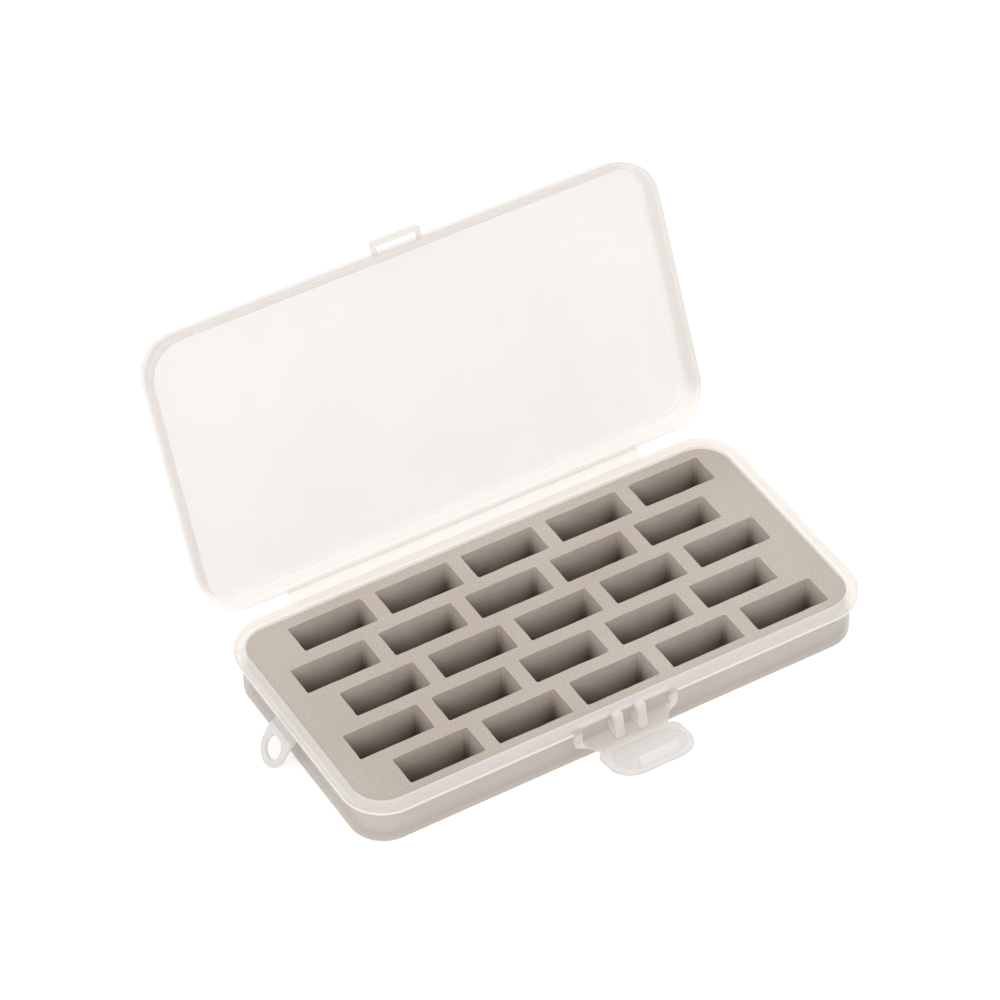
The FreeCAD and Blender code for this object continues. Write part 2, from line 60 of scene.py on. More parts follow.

# Where the moulding is thick and milky, and where light and shade are painted on it, in millimetres
THICK_FADE = 0.8
RIM_THICK_FROM, BRIGHT_RIM_FROM = RIM_BOTTOM + 1.7, RIM_BOTTOM + 0.3
REAR_RIM, RIGHT_RIM = 30.5, 68.5
REAR_PAINTED_LIGHT, RIGHT_PAINTED_LIGHT, HINGE_PAINTED_LIGHT = (31.0, 36.0), (66.0, 73.0), (12.0, 6.0)
# painted shade: below FOOT_TOP the tray's foot is darker, standing in for the foam's shaded bottom seen through it
FOOT_TOP, FOOT_FADE = 3.4, 1.0
LID_WALL, RIDGES_FROM = 5.0, 0.15
# share of its shade that the plastic throws on other things
FAINT_SHADOW = 0.15

ALONG_X, ALONG_Y, ALONG_Z = Vector((1, 0, 0)), Vector((0, 1, 0)), Vector((0, 0, 1))
strip_way = Vector((0, math.sin(STRIP_LEAN), math.cos(STRIP_LEAN)))
lid_way = Vector((0, -math.cos(LID_LEAN), math.sin(LID_LEAN)))
lid_up = Vector((0, math.sin(LID_LEAN), math.cos(LID_LEAN)))
base_crease = Vector((0, *BASE_CREASE))
lid_crease = base_crease + strip_way * STRIP_HEIGHT
flap_crease = Vector((0, *FLAP_CREASE))
flap_way = Vector((0, -math.cos(FLAP_TILT), math.sin(FLAP_TILT)))
flap_up = Vector((0, math.sin(FLAP_TILT), math.cos(FLAP_TILT)))
tab_crease = Vector((TAB_CREASE[0], TAB_MIDDLE, TAB_CREASE[1]))
tab_way = Vector((-math.sin(TAB_LEAN), 0, -math.cos(TAB_LEAN)))

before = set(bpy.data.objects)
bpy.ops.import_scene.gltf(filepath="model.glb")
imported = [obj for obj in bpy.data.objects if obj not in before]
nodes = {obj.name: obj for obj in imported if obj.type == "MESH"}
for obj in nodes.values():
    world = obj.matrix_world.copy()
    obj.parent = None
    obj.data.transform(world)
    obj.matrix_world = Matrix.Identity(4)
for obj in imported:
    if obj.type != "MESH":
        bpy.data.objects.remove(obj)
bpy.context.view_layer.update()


def linear(text):
    """An sRGB hex colour as linear RGBA."""
    channels = [int(text[i:i + 2], 16) / 255 for i in (1, 3, 5)]
    return [c / 12.92 if c <= 0.04045 else ((c + 0.055) / 1.055) ** 2.4 for c in channels] + [1.0]


def add_node(tree, kind, inputs=None, **settings):
    """A node with its settings, its constant inputs and its links."""
    made = tree.nodes.new(kind)
    for name, value in settings.items():
        setattr(made, name, value)
    for name, value in (inputs or {}).items():
        socket = made.inputs[name]
        if isinstance(value, bpy.types.NodeSocket):
            tree.links.new(value, socket)
        else:
            socket.default_value = value
    return made


def new_material(name):
    """An empty material and its node tree."""
    material = bpy.data.materials.new(name)
    material.use_nodes = True
    material.node_tree.nodes.clear()
    return material, material.node_tree


# Materials

def natural_polypropylene(name, dark, light, cover, thick_places=(), thick_cover=1.0, milky_and_painted_light_colour="#FFFFFF",
                          tones=()):
    """Injection-moulded natural polypropylene: milky and see-through, with a soft satin shine.

    It hides the share cover of what lies behind it, and thick_cover where the moulding is thick. Each thick place
    lies beyond a set of planes, given as directions and distances. Its colour there is partly milky, partly painted
    light, and changes to each of the tones, painted light and painted shade, from the first to the second distance
    along a direction."""
    material, tree = new_material(name)
    place = add_node(tree, "ShaderNodeTexCoord").outputs["Object"]
    # flow clouds about 30 mm across, left by the melt
    clouds = add_node(tree, "ShaderNodeTexNoise", {"Vector": place, "Scale": 1 / (30 * MM), "Detail": 2.0})
    spread = add_node(tree, "ShaderNodeMapRange", {"Value": clouds.outputs["Fac"], "From Min": 0.3, "From Max": 0.7})
    colour = add_node(tree, "ShaderNodeMix", {0: spread.outputs[0], 6: linear(dark), 7: linear(light)},
                      data_type="RGBA")
    # satin of the tool, a 0.05 mm grain drawn at 0.7 mm so that it shows
    satin = add_node(tree, "ShaderNodeTexNoise", {"Vector": place, "Scale": 1 / (0.7 * MM), "Detail": 3.0})
    rough = add_node(tree, "ShaderNodeMapRange", {"Value": satin.outputs["Fac"], "To Min": 0.26, "To Max": 0.38})
    bump = add_node(tree, "ShaderNodeBump", {"Height": satin.outputs["Fac"], "Strength": 0.05, "Distance": 0.05 * MM})
    surface = add_node(tree, "ShaderNodeBsdfPrincipled", {
        "Base Color": colour.outputs[2], "Roughness": rough.outputs[0], "Normal": bump.outputs["Normal"],
        "IOR": 1.49, "Alpha": cover})
    if thick_places:
        inside = -1.0
        for planes in thick_places:
            within = 1.0
            for direction, distance in planes:
                along = add_node(tree, "ShaderNodeVectorMath", {0: place, 1: direction}, operation="DOT_PRODUCT")
                past = add_node(tree, "ShaderNodeMath", {0: along.outputs["Value"], 1: distance * MM},
                                operation="SUBTRACT")
                within = add_node(tree, "ShaderNodeMath", {0: within, 1: past.outputs[0]},
                                  operation="MINIMUM").outputs[0]
            inside = add_node(tree, "ShaderNodeMath", {0: inside, 1: within}, operation="MAXIMUM").outputs[0]
        thick = add_node(tree, "ShaderNodeMapRange", {"Value": inside, "From Max": THICK_FADE * MM}).outputs[0]
        milky_and_painted_tone = linear(milky_and_painted_light_colour)
        for direction, start, end, tone in tones:
            along = add_node(tree, "ShaderNodeVectorMath", {0: place, 1: direction}, operation="DOT_PRODUCT")
            share = add_node(tree, "ShaderNodeMapRange", {"Value": along.outputs["Value"], "From Min": start * MM,
                                                          "From Max": end * MM})
            milky_and_painted_tone = add_node(tree, "ShaderNodeMix", {0: share.outputs[0], 6: milky_and_painted_tone, 7: linear(tone)},
                            data_type="RGBA").outputs[2]
        mixed = add_node(tree, "ShaderNodeMix", {0: thick, 6: colour.outputs[2], 7: milky_and_painted_tone}, data_type="RGBA")
        hidden = add_node(tree, "ShaderNodeMapRange", {"Value": thick, "To Min": cover, "To Max": thick_cover})
        # light that the plastic scatters still goes on, so it throws a faint shadow
        shadow = add_node(tree, "ShaderNodeLightPath").outputs["Is Shadow Ray"]
        kept = add_node(tree, "ShaderNodeMapRange", {"Value": shadow, "To Min": 1.0, "To Max": FAINT_SHADOW})
        covered = add_node(tree, "ShaderNodeMath", {0: hidden.outputs[0], 1: kept.outputs[0]}, operation="MULTIPLY")
        tree.links.new(mixed.outputs[2], surface.inputs["Base Color"])
        tree.links.new(covered.outputs[0], surface.inputs["Alpha"])
    add_node(tree, "ShaderNodeOutputMaterial", {"Surface": surface.outputs["BSDF"]})
    return material


def closed_cell_foam():
    """Die-cut closed-cell foam: dull warm grey, with a fine grain of cells and tiny pits, and painted shade down its
    slots.
    """
    material, tree = new_material("closed_cell_foam_warm_grey")
    place = add_node(tree, "ShaderNodeTexCoord").outputs["Object"]
    # cells of about 0.2 mm, drawn at 0.45 mm so that they show
    cells = add_node(tree, "ShaderNodeTexNoise", {"Vector": place, "Scale": 1 / (0.45 * MM), "Detail": 3.0})
    grain = add_node(tree, "ShaderNodeMapRange", {"Value": cells.outputs["Fac"], "From Min": 0.25, "From Max": 0.75})
    grained = add_node(tree, "ShaderNodeMix", {0: grain.outputs[0], 6: linear("#BEB3A9"), 7: linear("#D6CCC3")},
                       data_type="RGBA")
    # slow change of tone over about 40 mm
    tone = add_node(tree, "ShaderNodeTexNoise", {"Vector": place, "Scale": 1 / (40 * MM), "Detail": 1.0})
    slow = add_node(tree, "ShaderNodeMapRange", {"Value": tone.outputs["Fac"], "From Min": 0.3, "From Max": 0.7})
    toned = add_node(tree, "ShaderNodeMix", {0: slow.outputs[0], 6: linear("#F4F2F0"), 7: linear("#FFFFFF")},
                     data_type="RGBA")
    # the cut walls of a slot are open cells; how deep a point lies tells them from the top and sets the painted shade
    # further on
    depth = add_node(tree, "ShaderNodeAttribute", attribute_name="slot_depth_and_shade")
    cut = add_node(tree, "ShaderNodeMapRange", {"Value": depth.outputs["Fac"], "From Max": 0.04})
    # streaks of about 0.5 mm by 4 mm that the blade leaves on them
    drawn = add_node(tree, "ShaderNodeMapping", {"Vector": place, "Scale": (0.12, 0.12, 1.0),
                                                 "Rotation": (0, 0.08, 0)})
    streaks = add_node(tree, "ShaderNodeTexNoise", {"Vector": drawn.outputs[0], "Scale": 1 / (0.5 * MM),
                                                    "Detail": 2.0})
    streaked = add_node(tree, "ShaderNodeMix", {0: streaks.outputs["Fac"], 6: linear("#C9BEB4"),
                                                7: linear("#DFD5CC")}, data_type="RGBA")
    faced = add_node(tree, "ShaderNodeMix", {0: cut.outputs[0], 6: grained.outputs[2], 7: streaked.outputs[2]},
                     data_type="RGBA")
    # painted shade: the slot walls and bottoms darken the deeper they lie, and more in the slot's corners
    low = add_node(tree, "ShaderNodeMapRange", {"Value": depth.outputs["Fac"], "From Min": 0.2, "From Max": 1.4},
                   interpolation_type="SMOOTHSTEP")
    deep = add_node(tree, "ShaderNodeMix", {0: low.outputs[0], 6: linear("#FFFFFF"), 7: linear("#857A71")},
                    data_type="RGBA")
    product = faced.outputs[2]
    for layer in (toned, deep):
        product = add_node(tree, "ShaderNodeMix", {0: 1.0, 6: product, 7: layer.outputs[2]}, data_type="RGBA",
                           blend_type="MULTIPLY").outputs[2]
    # pits of about 1 mm, where cells have burst
    pits = add_node(tree, "ShaderNodeTexVoronoi", {"Vector": place, "Scale": 1 / (1.1 * MM)})
    fine = add_node(tree, "ShaderNodeBump", {"Height": cells.outputs["Fac"], "Strength": 0.35, "Distance": 0.2 * MM})
    pitted = add_node(tree, "ShaderNodeBump", {"Height": pits.outputs["Distance"], "Strength": 0.12,
                                               "Distance": 0.2 * MM, "Normal": fine.outputs["Normal"]})
    surface = add_node(tree, "ShaderNodeBsdfPrincipled", {
        "Base Color": product, "Roughness": 0.92, "Normal": pitted.outputs["Normal"],
        "IOR": 1.45, "Specular IOR Level": 0.25})
    add_node(tree, "ShaderNodeOutputMaterial", {"Surface": surface.outputs["BSDF"]})
    return material


# the lid's panel lets the most light through, and rims, catch frame and keeper loop are milkier than the panels;
# their lighter colour is partly painted light on the catch frame, the tray's rear and right rim and the lid's wall,
# and a painted highlight on the flap's ridges
below_rim = ((-ALONG_Y, CATCH_FRONT), (-ALONG_Z, -RIM_BOTTOM))
prongs = ((ALONG_Z, LEDGE_TOP), (ALONG_X, -PRONGS_HALF), (-ALONG_X, -PRONGS_HALF))
catch_frame = ((*below_rim, (ALONG_X, FRAME_INSIDE)), (*below_rim, (-ALONG_X, FRAME_INSIDE)),
               (*below_rim, *prongs), ((-ALONG_Y, TRAY_DEPTH / 2), *prongs))
rim_and_foot = (((ALONG_Z, RIM_THICK_FROM),), ((ALONG_Z, BRIGHT_RIM_FROM), (ALONG_Y, REAR_RIM)),
                ((ALONG_Z, BRIGHT_RIM_FROM), (ALONG_X, RIGHT_RIM)), ((-ALONG_Z, -FOOT_TOP),))
hinge_place = lid_crease.dot(lid_way)
keeper_loop = ((lid_way, hinge_place + LID_REACH),)
lid_wall = ((-lid_up, -(lid_crease.dot(lid_up) + LID_WALL)),)
flap_ridges = ((flap_up, flap_crease.dot(flap_up) + RIDGES_FROM),)
# painted light brightens the tray's rim at its rear and right end, and the lid's at the hinge;
# painted shade darkens the tray's thick foot towards the bottom
PAINTED_LIGHT_COLOUR, LID_PAINTED_LIGHT_COLOUR, FOOT_SHADE_COLOUR = "#FFF9F2", "#FFFAF6", "#D3C8BE"
tray_painted_tones = ((ALONG_Y, *REAR_PAINTED_LIGHT, PAINTED_LIGHT_COLOUR), (ALONG_X, *RIGHT_PAINTED_LIGHT, PAINTED_LIGHT_COLOUR),
              (-ALONG_Z, -FOOT_TOP - FOOT_FADE, -FOOT_TOP, FOOT_SHADE_COLOUR))
lid_painted_tones = ((-lid_way, -hinge_place - HINGE_PAINTED_LIGHT[0], -hinge_place - HINGE_PAINTED_LIGHT[1], LID_PAINTED_LIGHT_COLOUR),)
tray_plastic = natural_polypropylene(
    "natural_polypropylene_tray", "#E4DDD8", "#EAE4DF", 0.46,
    thick_places=catch_frame + rim_and_foot, thick_cover=0.64, milky_and_painted_light_colour="#F5F0ED", tones=tray_painted_tones)
lid_plastic = natural_polypropylene(
    "natural_polypropylene_lid", "#D9D1CA", "#DFD8D1", 0.34,
    thick_places=(keeper_loop, lid_wall), thick_cover=0.56, milky_and_painted_light_colour="#EBE4DE", tones=lid_painted_tones)
# painted light: the hinge strip and its crease webs are coloured near white, lighter than the rest of the moulding,
# against the shade between lid and tray
strip_painted_light_plastic = natural_polypropylene("natural_polypropylene_strip_painted_light", "#FFF8F2", "#FFFBF7", 0.42)
flap_plastic = natural_polypropylene(
    "natural_polypropylene_flap", "#DFD9D5", "#E5DFDB", 0.72,
    thick_places=(flap_ridges,), thick_cover=0.84, milky_and_painted_light_colour="#F3EFEC")
tab_plastic = natural_polypropylene("natural_polypropylene_tab", "#EAE5E1", "#F0ECE9", 0.75)
# painted highlight for the bead along the rim's lower edge, near white and fully covering
highlight_plastic = natural_polypropylene("natural_polypropylene_painted_highlight_edge", "#FFF4E6", "#FFF8EE", 1.0)
foam_stuff = closed_cell_foam()


# Foam insert

def slotted_foam_tree():
    """Fill an outline with staggered rows of slots, and give it thickness downwards."""
    tree = bpy.data.node_groups.new("slotted_foam", "GeometryNodeTree")
    tree.interface.new_socket("Geometry", in_out="OUTPUT", socket_type="NodeSocketGeometry")
    for name, kind in (("Length", "Float"), ("Depth", "Float"), ("Corner Radius", "Float"), ("Lift", "Vector"),
                       ("Drop", "Vector"), ("Slot Length", "Float"), ("Slot Width", "Float"),
                       ("Slot Radius", "Float"), ("Row Span", "Float"), ("Columns", "Int"),
                       ("Odd Rows", "Int"), ("Odd Rows Span", "Float"), ("Odd Rows Shift", "Vector"),
                       ("Even Rows", "Int"), ("Even Rows Span", "Float"), ("Even Rows Shift", "Vector"),
                       ("Edge Step", "Float"), ("Waviness", "Float"), ("Seed", "Float"),
                       ("Material", "Material")):
        tree.interface.new_socket(name, in_out="INPUT", socket_type=f"NodeSocket{kind}")
    given = add_node(tree, "NodeGroupInput").outputs
    outline = add_node(tree, "GeometryNodeCurvePrimitiveQuadrilateral",
                       {"Width": given["Length"], "Height": given["Depth"]})
    outline = add_node(tree, "GeometryNodeFilletCurve", {"Curve": outline.outputs[0], "Count": 12,
                                                         "Radius": given["Corner Radius"]}, mode="POLY")
    outline = add_node(tree, "GeometryNodeResampleCurve", {"Curve": outline.outputs[0],
                                                           "Length": given["Edge Step"]}, mode="LENGTH")
    slot = add_node(tree, "GeometryNodeCurvePrimitiveQuadrilateral",
                    {"Width": given["Slot Length"], "Height": given["Slot Width"]})
    slot = add_node(tree, "GeometryNodeFilletCurve", {"Curve": slot.outputs[0], "Count": 3,
                                                      "Radius": given["Slot Radius"]}, mode="POLY")
    slot = add_node(tree, "GeometryNodeResampleCurve", {"Curve": slot.outputs[0],
                                                        "Length": given["Edge Step"]}, mode="LENGTH")
    places = add_node(tree, "GeometryNodeJoinGeometry")
    for rows in ("Odd Rows", "Even Rows"):
        grid = add_node(tree, "GeometryNodeMeshGrid", {
            "Size X": given["Row Span"], "Size Y": given[f"{rows} Span"], "Vertices X": given["Columns"],
            "Vertices Y": given[rows]})
        moved = add_node(tree, "GeometryNodeTransform", {"Geometry": grid.outputs[0],
                                                         "Translation": given[f"{rows} Shift"]})
        tree.links.new(moved.outputs[0], places.inputs[0])
    slots = add_node(tree, "GeometryNodeInstanceOnPoints", {"Points": places.outputs[0], "Instance": slot.outputs[0]})
    slots = add_node(tree, "GeometryNodeRealizeInstances", {"Geometry": slots.outputs[0]})
    edges = add_node(tree, "GeometryNodeJoinGeometry")
    tree.links.new(outline.outputs[0], edges.inputs[0])
    tree.links.new(slots.outputs[0], edges.inputs[0])

    # the die leaves edges that wander by about a tenth of a millimetre
    spot = add_node(tree, "GeometryNodeInputPosition").outputs[0]
    wander = add_node(tree, "ShaderNodeTexNoise", {"Vector": spot, "W": given["Seed"], "Scale": 1 / (5.0 * MM),
                                                   "Detail": 4.0}, noise_dimensions="4D")
    centred = add_node(tree, "ShaderNodeVectorMath", {0: wander.outputs["Color"], 1: (0.5, 0.5, 0.5)},
                       operation="SUBTRACT")
    level = add_node(tree, "ShaderNodeVectorMath", {0: centred.outputs[0], 1: (1.0, 1.0, 0.0)}, operation="MULTIPLY")
    step = add_node(tree, "ShaderNodeVectorMath", {0: level.outputs[0], "Scale": given["Waviness"]},
                    operation="SCALE")
    wavy = add_node(tree, "GeometryNodeSetPosition", {"Geometry": edges.outputs[0], "Offset": step.outputs[0]})

    face = add_node(tree, "GeometryNodeFillCurve", {"Curve": wavy.outputs[0]}, mode="TRIANGLES")
    face = add_node(tree, "GeometryNodeTransform", {"Geometry": face.outputs[0], "Translation": given["Lift"]})
    walls = add_node(tree, "GeometryNodeExtrudeMesh", {"Mesh": face.outputs[0], "Offset": given["Drop"],
                                                       "Offset Scale": 1.0, "Individual": False}, mode="FACES")
    whole = add_node(tree, "GeometryNodeJoinGeometry")
    tree.links.new(face.outputs[0], whole.inputs[0])
    tree.links.new(walls.outputs[0], whole.inputs[0])
    closed = add_node(tree, "GeometryNodeMergeByDistance", {"Geometry": whole.outputs[0],
                                                            "Distance": MERGE_REACH * MM})
    real = add_node(tree, "GeometryNodeRealizeInstances", {"Geometry": closed.outputs[0]})
    coated = add_node(tree, "GeometryNodeSetMaterial", {"Geometry": real.outputs[0], "Material": given["Material"]})
    add_node(tree, "NodeGroupOutput", {0: coated.outputs[0]})
    return tree


def made_by_tree(name, tree, values):
    """The plain mesh that a node tree makes with these named inputs."""
    maker = bpy.data.objects.new(f"{name}_maker", bpy.data.meshes.new(f"{name}_maker"))
    bpy.context.scene.collection.objects.link(maker)
    modifier = maker.modifiers.new("maker", "NODES")
    modifier.node_group = tree
    for item in tree.interface.items_tree:
        if item.in_out == "INPUT":
            modifier[item.identifier] = values[item.name]
    mesh = bpy.data.meshes.new_from_object(maker.evaluated_get(bpy.context.evaluated_depsgraph_get()))
    bpy.data.objects.remove(maker)
    mesh.name = name
    piece = bpy.data.objects.new(name, mesh)
    bpy.context.scene.collection.objects.link(piece)
    return piece


def soften_top(piece, top, width):
    """Point the faces outwards and round the edges of the top face."""
    shape = bmesh.new()
    shape.from_mesh(piece.data)
    bmesh.ops.remove_doubles(shape, verts=shape.verts, dist=MERGE_REACH * MM)
    bmesh.ops.recalc_face_normals(shape, faces=shape.faces)
    rim = [edge for edge in shape.edges
           if all(abs(v.co.z - top) < 1e-6 for v in edge.verts)
           and any(abs(face.normal.z) < 0.5 for face in edge.link_faces)]
    bmesh.ops.bevel(shape, geom=rim, offset=width, segments=2, profile=0.5, affect="EDGES", clamp_overlap=True)
    shape.to_mesh(piece.data)
    shape.free()
    # mark how deep each point lies in a slot, for the painted shade there
    mark_slot_depth(piece, SLOT_FIELD)
    return piece


def mark_slot_depth(piece, field):
    """Note on each point of the field of slots how deep in a slot it lies.

    That is 0 at the foam's top and 1 at the slot's bottom, and more in the slot's corners, where the painted shade is
    darker."""
    depth = piece.data.attributes.new("slot_depth_and_shade", "FLOAT", "POINT")
    for vertex, mark in zip(piece.data.vertices, depth.data):
        x, y, z = vertex.co / MM
        if abs(x) >= field[0] or abs(y) >= field[1]:
            continue
        row = round(y / ROW_PITCH)
        shift = ROW_STAGGER / 2 if row % 2 == 0 else -ROW_STAGGER / 2
        across = SLOT_LENGTH / 2 - abs((x - shift + SLOT_PITCH / 2) % SLOT_PITCH - SLOT_PITCH / 2)
        deepwards = SLOT_WIDTH / 2 - abs(y - row * ROW_PITCH)
        corner = math.exp(-max(across, deepwards, 0.0) / CORNER_SHADE)
        mark.value = (FOAM_TOP - z) / (FOAM_TOP - SHEET_TOP) * (1 + CORNER_EXTRA * corner)


foam_values = {
    "Length": FOAM_LENGTH * MM, "Depth": FOAM_DEPTH * MM, "Corner Radius": FOAM_RADIUS * MM,
    "Lift": (0, 0, FOAM_TOP * MM), "Drop": (0, 0, (SHEET_TOP - FOAM_TOP) * MM),
    "Slot Length": SLOT_LENGTH * MM, "Slot Width": SLOT_WIDTH * MM, "Slot Radius": 0.35 * MM,
    "Row Span": SLOT_PITCH * (SLOT_COLUMNS - 1) * MM, "Columns": SLOT_COLUMNS,
    "Odd Rows": 3, "Odd Rows Span": ROW_PITCH * 4 * MM, "Odd Rows Shift": (ROW_STAGGER / 2 * MM, 0, 0),
    "Even Rows": 2, "Even Rows Span": ROW_PITCH * 2 * MM, "Even Rows Shift": (-ROW_STAGGER / 2 * MM, 0, 0),
    "Edge Step": 0.6 * MM, "Waviness": 0.5 * MM, "Seed": 3.0, "Material": foam_stuff,
}
slotted_foam = soften_top(made_by_tree("slotted_foam", slotted_foam_tree(), foam_values), FOAM_TOP * MM,
                          DIE_ROUND * MM)


def rounded_outline(length, depth, radius, steps=10):
    """Corner points of a rounded rectangle about the middle, in millimetres."""
    points = []
    for turn, (sx, sy) in enumerate(((1, -1), (1, 1), (-1, 1), (-1, -1))):
        for step in range(steps + 1):
            angle = math.radians(90 * turn - 90 + 90 * step / steps)
            points.append((sx * (length / 2 - radius) + radius * math.cos(angle),
                           sy * (depth / 2 - radius) + radius * math.sin(angle)))
    return points


def finished_piece(name, shape, material):
    """A piece of the scene, with a shape and one material."""
    piece = bpy.data.objects.new(name, bpy.data.meshes.new(name))
    shape.to_mesh(piece.data)
    shape.free()
    piece.data.materials.append(material)
    bpy.context.scene.collection.objects.link(piece)
    return piece


def skin(shape, rings):
    """Join four-cornered rings into one closed bar."""
    for near, far in zip(rings, rings[1:]):
        for corner in range(4):
            following = (corner + 1) % 4
            shape.faces.new((near[corner], near[following], far[following], far[corner]))
    shape.faces.new(rings[0])
    shape.faces.new(rings[-1])
    bmesh.ops.recalc_face_normals(shape, faces=shape.faces)


def backing_sheet():
    """The thin sheet under the slotted block."""
    shape = bmesh.new()
    ring = [shape.verts.new((x * MM, y * MM, FLOOR_TOP * MM))
            for x, y in rounded_outline(FOAM_LENGTH, FOAM_DEPTH, FOAM_RADIUS)]
    base = shape.faces.new(ring)
    grown = bmesh.ops.extrude_face_region(shape, geom=[base])
    top = [item for item in grown["geom"] if isinstance(item, bmesh.types.BMVert)]
    bmesh.ops.translate(shape, verts=top, vec=(0, 0, (SHEET_TOP - FLOOR_TOP) * MM))
    bmesh.ops.recalc_face_normals(shape, faces=shape.faces)
    upper = [face for face in shape.faces if face.normal.z > 0.9]
    bmesh.ops.inset_region(shape, faces=upper, thickness=SHEET_INSET * MM)
    piece = finished_piece("foam_backing", shape, foam_stuff)
    # painted shade: the sheet's top inside the inset is the dark bottom of each slot
    mark_slot_depth(piece, SHEET_FIELD)
    return piece


foam_backing = backing_sheet()
for piece, node in ((slotted_foam, "foam_insert"), (foam_backing, "foam_base_sheet")):
    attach(piece, "base")
    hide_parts(node)


# Living hinges: thin webs that close the gap at each crease

def bent_path(start, crease, end, steps=4):
    """Points from one side of a crease to the other."""
    first = [start.lerp(crease, step / steps) for step in range(steps)]
    return first + [crease.lerp(end, step / steps) for step in range(steps + 1)]


def crease_web(name, start, crease, end, along, half_span, thickness):
    """A thin ribbon from start over the crease to end, as wide as the crease, bent at the crease."""
    shape = bmesh.new()
    path = bent_path(start, crease, end)
    rings = []
    for index, point in enumerate(path):
        before, after = path[max(index - 1, 0)], path[min(index + 1, len(path) - 1)]
        normal = along.cross(after - before).normalized() * thickness / 2
        rings.append([shape.verts.new((point + along * side * half_span + normal * face) * MM)
                      for side, face in ((-1, -1), (1, -1), (1, 1), (-1, 1))])
    skin(shape, rings)
    web = finished_piece(name, shape, strip_painted_light_plastic)
    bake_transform(web)


# the reach of each web to both sides, its width and its thickness are in millimetres
TAB_WEB_INSET = 0.2
for name, bodies, crease, inwards, outwards, reach, along, width, thickness in (
        ("base_crease_web", ("base", "hinge_strip"), base_crease, -ALONG_Y, strip_way, 0.6,
         ALONG_X, STRIP_LENGTH, 0.34),
        ("lid_crease_web", ("hinge_strip", "lid"), lid_crease, -strip_way, lid_way, 0.6,
         ALONG_X, STRIP_LENGTH, 0.34),
        ("flap_crease_web", ("base", "latch_flap"), flap_crease, ALONG_Y, flap_way, 0.9,
         ALONG_X, FLAP_SPAN, 0.5),
        ("tab_crease_web", ("base", "hang_tab"), tab_crease, ALONG_X, tab_way, 0.7,
         ALONG_Y, TAB_SPAN - TAB_WEB_INSET * 2, 0.4)):
    crease_web(name, crease + inwards * reach, crease, crease + outwards * reach, along, width / 2, thickness)

for node, finish in (("base_tray", tray_plastic), ("hinge_strip", strip_painted_light_plastic), ("lid", lid_plastic),
                     ("latch_flap", flap_plastic), ("hang_tab", tab_plastic)):
    nodes[node].data.materials.clear()
    nodes[node].data.materials.append(finish)


# Painted highlight along the lower edge of the tray's rim

def rim_painted_highlight_bead():
    """A fine bead in the rounded lower edge of the rim that carries a painted highlight, open across the catch frame.
    """
    shape = bmesh.new()
    outline = rounded_outline(TRAY_LENGTH + BEAD_PROUD * 2, TRAY_DEPTH + BEAD_PROUD * 2, TRAY_RADIUS + BEAD_PROUD)
    inner = rounded_outline(TRAY_LENGTH - RIM_ROUND * 2, TRAY_DEPTH - RIM_ROUND * 2, TRAY_RADIUS - RIM_ROUND)
    # the front runs from the last corner to the first, so the bead starts right of the frame and ends left of it
    front = -TRAY_DEPTH / 2 - BEAD_PROUD
    outline = [(FRAME_HALF, front), *outline, (-FRAME_HALF, front)]
    inner = [(FRAME_HALF, RIM_ROUND - TRAY_DEPTH / 2), *inner, (-FRAME_HALF, RIM_ROUND - TRAY_DEPTH / 2)]
    sections = []
    for (x, y), (inner_x, inner_y) in zip(outline, inner):
        # at the right end, where nothing else reaches further, the bead stays flush
        x = min(x, TRAY_LENGTH / 2)
        corners = ((inner_x, inner_y, RIM_BOTTOM), (x, y, RIM_BOTTOM + BEAD_SLOPE),
                   (x, y, RIM_BOTTOM + BEAD_HEIGHT), (inner_x, inner_y, RIM_BOTTOM + BEAD_HEIGHT))
        sections.append([shape.verts.new(Vector(corner) * MM) for corner in corners])
    skin(shape, sections)
    return finished_piece("rim_painted_highlight_bead", shape, highlight_plastic)


highlight_bead = rim_painted_highlight_bead()
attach(highlight_bead, "base")


# Floor, light and camera

# in metres, with the floor a little below the tray
FLOOR_HALF, FLOOR_LEVEL = 4.0, -0.0002
PAPER_GLOW, WORLD_LIGHT = 0.3, 0.62
LAMP_AIM = Vector((0, 0.02, 0.02))


def seen_directly(tree):
    """1 for rays that show the background in the picture, in a reflection or through the plastic."""
    path = add_node(tree, "ShaderNodeLightPath").outputs
    shown = add_node(tree, "ShaderNodeMath", {0: path["Is Camera Ray"], 1: path["Is Glossy Ray"]},
                     operation="MAXIMUM")
    return add_node(tree, "ShaderNodeMath", {0: shown.outputs[0], 1: path["Is Transmission Ray"]},
                    operation="MAXIMUM").outputs[0]


def white_paper_floor():
    """White paper sweep: it takes the soft shadow and otherwise reads as white."""
    material, tree = new_material("white_paper_sweep")
    paper = add_node(tree, "ShaderNodeBsdfDiffuse", {"Color": linear("#FFFFFF"), "Roughness": 0.5})
    strength = add_node(tree, "ShaderNodeMath", {0: seen_directly(tree), 1: PAPER_GLOW}, operation="MULTIPLY")
    glow = add_node(tree, "ShaderNodeEmission", {"Color": linear("#FFFFFF"), "Strength": strength.outputs[0]})
    both = add_node(tree, "ShaderNodeAddShader", {0: paper.outputs[0], 1: glow.outputs[0]})
    add_node(tree, "ShaderNodeOutputMaterial", {"Surface": both.outputs[0]})
    return material


floor_mesh = bpy.data.meshes.new("floor")
floor_mesh.from_pydata([(x * FLOOR_HALF, y * FLOOR_HALF, FLOOR_LEVEL)
                        for x, y in ((-1, -1), (1, -1), (1, 1), (-1, 1))], [], [(0, 1, 2, 3)])
floor = bpy.data.objects.new("floor", floor_mesh)
floor.data.materials.append(white_paper_floor())
bpy.context.scene.collection.objects.link(floor)

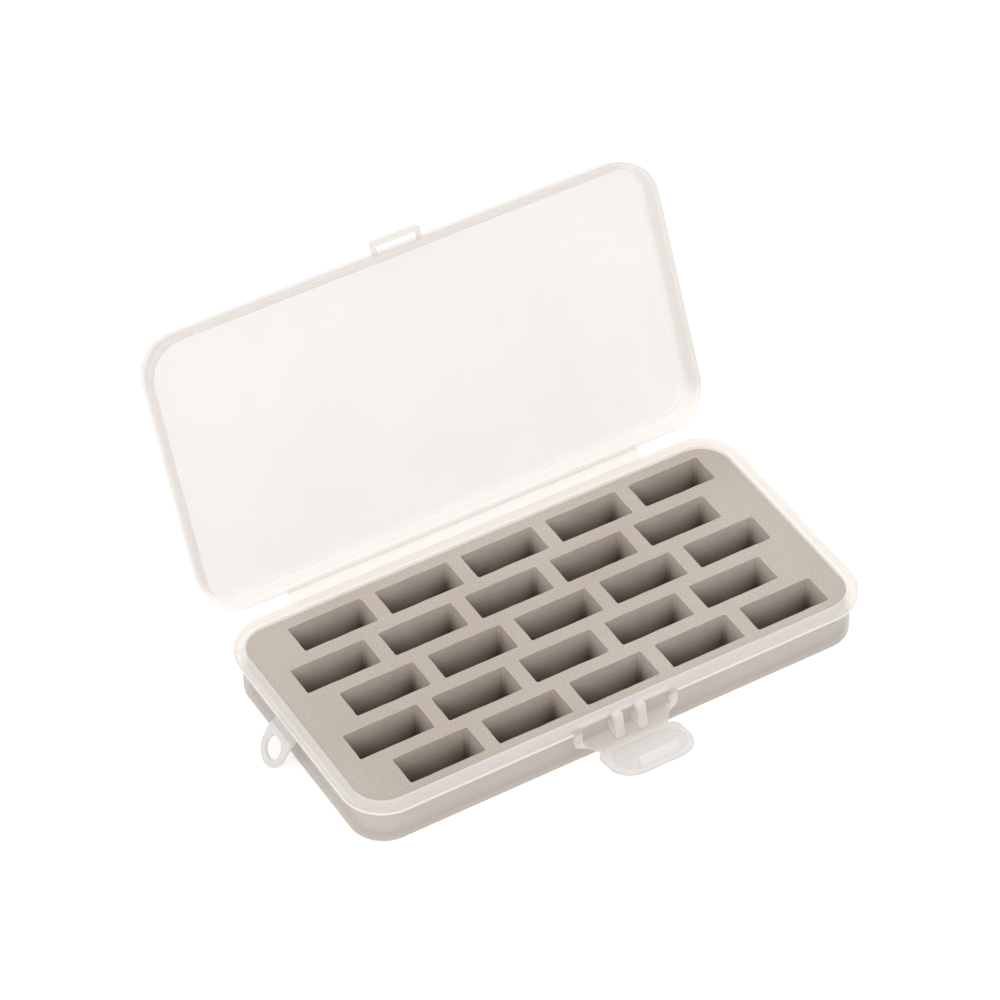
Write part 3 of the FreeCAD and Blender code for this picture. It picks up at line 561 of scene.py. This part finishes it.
world = bpy.data.worlds.new("studio")
world.use_nodes = True
world.node_tree.nodes.clear()
level = add_node(world.node_tree, "ShaderNodeMapRange", {"Value": seen_directly(world.node_tree),
                                                         "To Min": WORLD_LIGHT, "To Max": 1.0})
sky = add_node(world.node_tree, "ShaderNodeBackground", {"Color": linear("#FFFFFF"),
                                                         "Strength": level.outputs["Result"]})
add_node(world.node_tree, "ShaderNodeOutputWorld", {"Surface": sky.outputs[0]})
bpy.context.scene.world = world


def soft_box(name, place, width, watts):
    """A square studio lamp turned towards the box."""
    lamp = bpy.data.lights.new(name, "AREA")
    lamp.size = width
    lamp.energy = watts
    holder = bpy.data.objects.new(name, lamp)
    holder.location = place
    holder.rotation_euler = (LAMP_AIM - Vector(place)).to_track_quat("-Z", "Y").to_euler()
    bpy.context.scene.collection.objects.link(holder)


# place and width in metres, power in watts
for name, place, width, watts in (("key", (-0.9, -0.55, 1.15), 0.9, 6.3), ("front", (-0.3, -1.25, 0.5), 0.8, 1.7),
                                  ("top", (0.45, 0.0, 1.2), 0.3, 1.6), ("rear", (0.35, 1.15, 0.95), 0.9, 3.0)):
    soft_box(name, place, width, watts)

# The camera stands where the photograph was taken from.
CAMERA_AZIMUTH, CAMERA_HEIGHT, CAMERA_ROLL = math.radians(-30.07), math.radians(43.15), math.radians(-1.02)
CAMERA_AIM, CAMERA_DISTANCE = Vector((12.56, 45.28, 13.03)), 1227.09
CAMERA_LENS = 165.34

back = Vector((math.sin(CAMERA_AZIMUTH) * math.cos(CAMERA_HEIGHT),
               -math.cos(CAMERA_AZIMUTH) * math.cos(CAMERA_HEIGHT), math.sin(CAMERA_HEIGHT)))
level_right = Vector((math.cos(CAMERA_AZIMUTH), math.sin(CAMERA_AZIMUTH), 0))
level_up = back.cross(level_right)
right = level_right * math.cos(CAMERA_ROLL) + level_up * math.sin(CAMERA_ROLL)
up = back.cross(right)
view = bpy.data.cameras.new("photograph")
view.lens = CAMERA_LENS
view.sensor_width = 36.0
view.clip_start = 0.05
camera = bpy.data.objects.new("photograph", view)
turn = Matrix((right, up, back)).transposed().to_4x4()
camera.matrix_world = Matrix.Translation((CAMERA_AIM + back * CAMERA_DISTANCE) * MM) @ turn
bpy.context.scene.collection.objects.link(camera)
bpy.context.scene.camera = camera
bpy.context.scene.view_settings.view_transform = "Standard"
